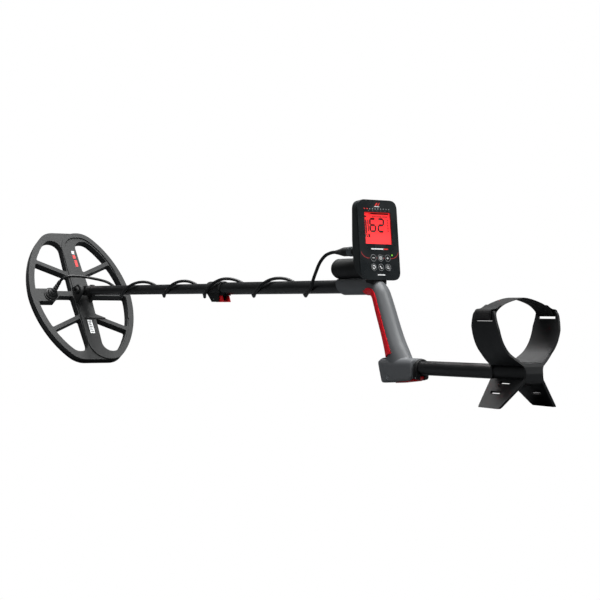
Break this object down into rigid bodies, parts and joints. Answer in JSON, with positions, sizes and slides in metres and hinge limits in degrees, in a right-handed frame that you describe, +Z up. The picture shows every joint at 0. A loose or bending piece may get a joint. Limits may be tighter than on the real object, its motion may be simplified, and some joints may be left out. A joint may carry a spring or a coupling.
{
  "type": "metal detector",
  "caption": "Hand-held metal detector with a spoked search coil on a telescoping shaft, an S-shaped handle with display pod, and a strapped arm cuff.",
  "frame": {"origin": "middle of the bottom of the bounding box, on the ground that the cuff's two feet and the coil's heel stand on", "axes": "+Y along the shaft's plan towards the search coil, +X to the user's right, +Z up"},
  "size_m": [0.2286, 1.4542, 0.3069],
  "materials": {
    "coil_plastic": "matte",
    "black_plastic": "matte",
    "pod_plastic": "satin",
    "handle_plastic": "satin",
    "red_plastic": "satin",
    "red_rubber": "matte",
    "black_tube": "satin",
    "black_rubber": "matte",
    "steel": "satin",
    "copper": "satin",
    "webbing": "matte",
    "lcd": "gloss",
    "clear_window": "gloss",
    "board": "satin",
    "cell_wrap": "satin"
  },
  "bodies": {
    "handle": {"handle_left_shell": "handle_plastic", "handle_right_shell": "handle_plastic", "grip_pad": "red_rubber", "handle_screw_lower": "steel", "handle_screw_rear": "steel", "upper_shaft_tube": "black_tube", "front_clamp_collar": "black_plastic", "front_clamp_pin": "steel", "rear_clamp_collar": "black_plastic", "rear_clamp_pin": "steel", "battery_housing": "black_plastic", "battery_cell": "cell_wrap", "battery_spring": "steel", "pod_rear_case": "pod_plastic", "pod_bezel": "pod_plastic", "display_window": "clear_window", "lcd_module": "lcd", "key_mat": "black_rubber", "circuit_board": "board", "speaker": "black_plastic", "status_led": "clear_window", "pod_screw_left": "steel", "pod_screw_right": "steel", "pod_foot": "black_plastic", "coil_socket": "black_plastic", "plug_body": "black_plastic", "plug_boot": "black_rubber", "cable_upper_wraps": "black_rubber"},
    "front_lever": {"front_clamp_lever": "red_plastic"},
    "rear_lever": {"rear_clamp_lever": "red_plastic"},
    "lower_shaft": {"lower_shaft_tube": "black_tube", "shaft_end_stop": "black_plastic", "shaft_tip": "black_plastic", "friction_washer_left": "black_rubber", "friction_washer_right": "black_rubber", "cable_lower_wraps": "black_rubber"},
    "coil": {"coil_housing": "coil_plastic", "coil_base": "black_plastic", "skid_plate": "black_plastic", "transmit_winding": "copper", "receive_winding": "copper", "cable_gland": "black_plastic", "gland_boot": "black_rubber", "yoke_bolt": "black_plastic", "yoke_nut": "black_plastic", "cable_coil_span": "black_rubber"},
    "rear_shaft": {"rear_shaft_tube": "black_tube", "rear_tube_plug": "black_plastic", "armrest": "black_plastic", "armrest_screw": "steel", "arm_strap": "webbing"},
    "battery_cap": {"battery_cap": "black_plastic"},
    "plug_ring": {"plug_ring": "steel"},
    "key_upper_left": {"key_upper_left": "black_rubber"},
    "key_upper_middle": {"key_upper_middle": "black_rubber"},
    "key_upper_right": {"key_upper_right": "black_rubber"},
    "key_lower_left": {"key_lower_left": "black_rubber"},
    "key_lower_middle": {"key_lower_middle": "black_rubber"},
    "key_lower_right": {"key_lower_right": "black_rubber"}
  },
  "joints": [
    {"name": "front_lever_swing", "type": "hinge", "parent": "handle", "child": "front_lever", "pos_m": [0, 0.10762, 0.13916], "axis": [1, 0, 0], "range_deg": [0, 105]},
    {"name": "rear_lever_swing", "type": "hinge", "parent": "handle", "child": "rear_lever", "pos_m": [0, -0.47312, 0.02976], "axis": [-1, 0, 0], "range_deg": [0, 100]},
    {"name": "shaft_slide", "type": "slide", "parent": "handle", "child": "lower_shaft", "axis": [0, 0.9997, -0.0228], "range_m": [-0.3, 0], "deforming": ["cable_lower_wraps"]},
    {"name": "coil_tilt", "type": "hinge", "parent": "lower_shaft", "child": "coil", "pos_m": [0, 0.61343, 0.14694], "axis": [1, 0, 0], "range_deg": [-55, 115], "deforming": ["cable_coil_span"]},
    {"name": "armrest_slide", "type": "slide", "parent": "handle", "child": "rear_shaft", "axis": [0, -0.9997, 0.0228], "range_m": [0, 0.045]},
    {"name": "battery_cap_turn", "type": "hinge", "parent": "handle", "child": "battery_cap", "pos_m": [0, -0.27066, 0.19669], "axis": [0, 0.9997, -0.0228], "range_deg": [0, 90]},
    {"name": "plug_ring_turn", "type": "hinge", "parent": "handle", "child": "plug_ring", "pos_m": [-0.022, -0.32705, 0.22418], "axis": [0, 0.9997, -0.0228], "range_deg": [0, 180]},
    {"name": "key_upper_left_press", "type": "slide", "parent": "handle", "child": "key_upper_left", "axis": [0, 0.9921, -0.1254], "range_m": [0, 0.0007], "stiffness_N_per_m": 250},
    {"name": "key_upper_middle_press", "type": "slide", "parent": "handle", "child": "key_upper_middle", "axis": [0, 0.9921, -0.1254], "range_m": [0, 0.0007], "stiffness_N_per_m": 250},
    {"name": "key_upper_right_press", "type": "slide", "parent": "handle", "child": "key_upper_right", "axis": [0, 0.9921, -0.1254], "range_m": [0, 0.0007], "stiffness_N_per_m": 250},
    {"name": "key_lower_left_press", "type": "slide", "parent": "handle", "child": "key_lower_left", "axis": [0, 0.9921, -0.1254], "range_m": [0, 0.0007], "stiffness_N_per_m": 250},
    {"name": "key_lower_middle_press", "type": "slide", "parent": "handle", "child": "key_lower_middle", "axis": [0, 0.9921, -0.1254], "range_m": [0, 0.0007], "stiffness_N_per_m": 250},
    {"name": "key_lower_right_press", "type": "slide", "parent": "handle", "child": "key_lower_right", "axis": [0, 0.9921, -0.1254], "range_m": [0, 0.0007], "stiffness_N_per_m": 250}
  ]
}
